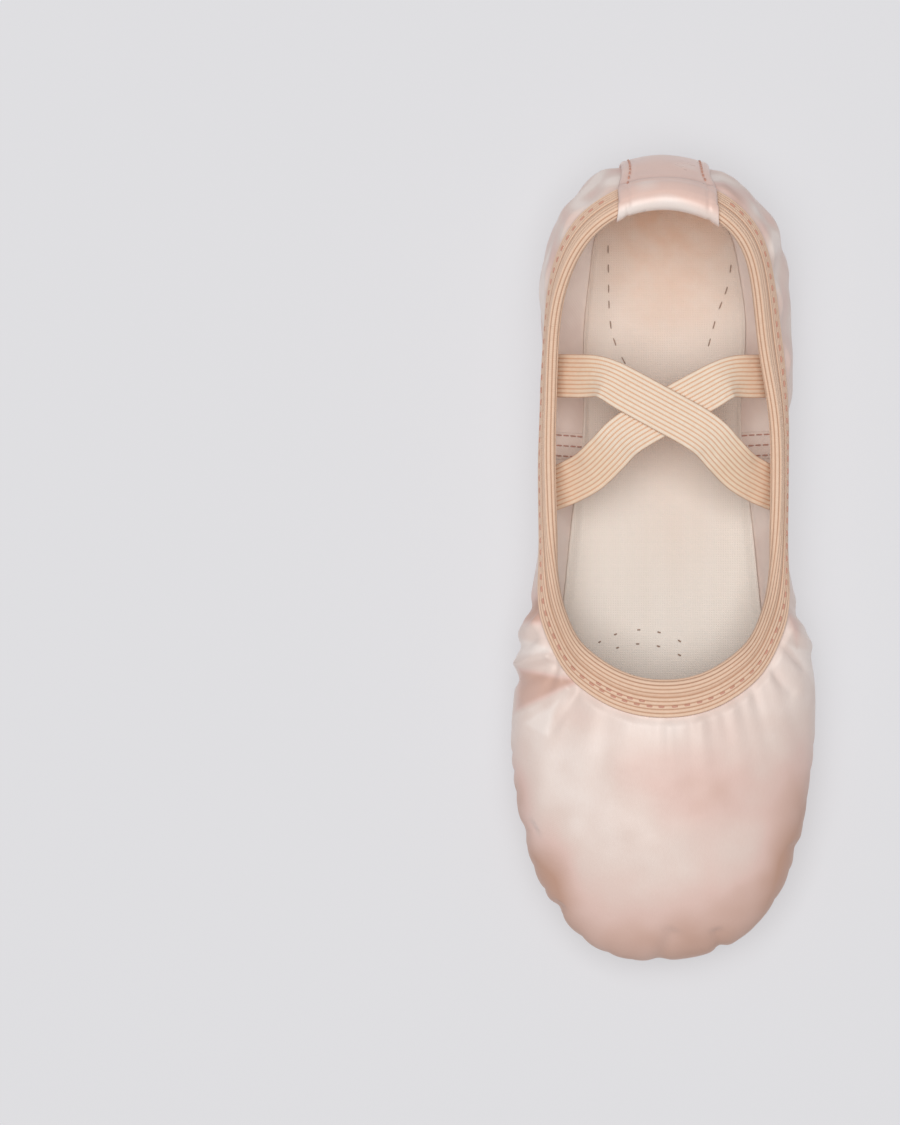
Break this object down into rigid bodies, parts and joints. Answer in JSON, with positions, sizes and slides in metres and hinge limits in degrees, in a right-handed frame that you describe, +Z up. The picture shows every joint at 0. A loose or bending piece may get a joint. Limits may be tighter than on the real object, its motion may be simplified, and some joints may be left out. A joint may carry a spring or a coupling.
{
  "type": "ballet slipper",
  "caption": "Soft split-sole ballet slipper with a satin upper, a ribbed elastic binding round the foot opening and two crossed elastic straps.",
  "frame": {"origin": "on the ground under the middle of the slipper", "axes": "+Z up, +Y from the toe towards the heel, +X to the right seen from above with the toe pointing down the page"},
  "size_m": [0.0704, 0.1874, 0.0458],
  "materials": {
    "satin": "satin weave, soft sheen",
    "lining": "matt woven cotton",
    "ribbed_elastic": "ribbed elastic tape",
    "thread": "sewing thread",
    "suede": "split suede, napped",
    "foam": "thin insole padding",
    "cotton_canvas": "cream cotton canvas"
  },
  "bodies": {
    "forefoot": {"vamp_satin": "satin", "vamp_lining": "lining", "throat_binding": "ribbed_elastic", "forefoot_sole_cloth": "satin", "forefoot_insole_foam": "foam", "forefoot_sock": "cotton_canvas", "forefoot_patch": "suede", "forefoot_patch_stitching": "thread"},
    "heel": {"flex_binding": "ribbed_elastic", "flex_lining": "lining", "flex_satin": "satin", "heel_binding": "ribbed_elastic", "heel_insole_foam": "foam", "heel_patch": "suede", "heel_patch_stitching": "thread", "heel_sock": "cotton_canvas", "heel_sole_cloth": "satin", "heel_strip": "satin", "over_strap_front_leg": "ribbed_elastic", "over_strap_front_tab": "ribbed_elastic", "over_strap_rear_leg": "ribbed_elastic", "over_strap_rear_tab": "ribbed_elastic", "quarter_left_satin": "satin", "quarter_lining": "lining", "quarter_right_satin": "satin", "side_seam_left": "satin", "side_seam_right": "satin", "under_strap_front_leg": "ribbed_elastic", "under_strap_front_tab": "ribbed_elastic", "under_strap_rear_leg": "ribbed_elastic", "under_strap_rear_tab": "ribbed_elastic", "wings_lining": "lining", "wings_satin": "satin"},
    "over_strap": {"over_strap_span": "ribbed_elastic"},
    "under_strap": {"under_strap_span": "ribbed_elastic"}
  },
  "joints": [
    {"name": "sole_flex", "type": "hinge", "parent": "forefoot", "child": "heel", "pos_m": [0, -0.012, 0.0049], "axis": [1, 0, 0], "range_deg": [0, 30], "deforming": ["flex_satin", "flex_lining", "flex_binding"]},
    {"name": "over_strap_lift", "type": "slide", "parent": "heel", "child": "over_strap", "axis": [0, 0, 1], "range_m": [0, 0.016], "deforming": ["over_strap_rear_leg", "over_strap_front_leg"]},
    {"name": "under_strap_lift", "type": "slide", "parent": "heel", "child": "under_strap", "axis": [0, 0, 1], "range_m": [0, 0.016], "deforming": ["under_strap_rear_leg", "under_strap_front_leg"]}
  ],
  "couplings": [
    {"joint": "under_strap_lift", "follows": "over_strap_lift", "ratio": 1}
  ]
}
